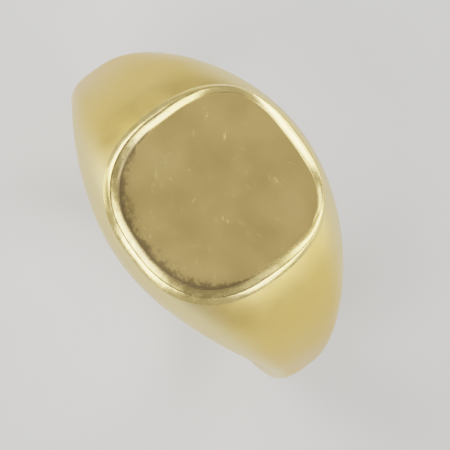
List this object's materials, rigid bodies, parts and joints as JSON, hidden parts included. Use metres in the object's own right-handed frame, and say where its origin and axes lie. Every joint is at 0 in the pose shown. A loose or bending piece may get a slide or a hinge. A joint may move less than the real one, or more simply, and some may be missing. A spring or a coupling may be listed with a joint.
{
  "type": "signet ring",
  "caption": "Gold signet ring with a plain cushion-shaped face in a raised polished rim, broad tapering shoulders and a narrower back.",
  "frame": {"origin": "centre of the finger hole", "axes": "+Y along the finger hole's axis, +Z out through the signet face, X along the band"},
  "size_m": [0.0218, 0.0128, 0.0228],
  "materials": {
    "polished_gold": "polished",
    "soft_polished_gold": "polished",
    "brushed_gold": "satin",
    "gold_solder": "satin"
  },
  "bodies": {
    "root": {"face_plate": "brushed_gold", "plate_solder": "gold_solder", "bezel_rim": "polished_gold", "head_collar": "soft_polished_gold", "head_lining": "soft_polished_gold", "left_shoulder": "soft_polished_gold", "right_shoulder": "soft_polished_gold", "left_head_solder": "gold_solder", "right_head_solder": "gold_solder", "left_shank_solder": "gold_solder", "right_shank_solder": "gold_solder", "shank": "soft_polished_gold"}
  },
  "joints": []
}
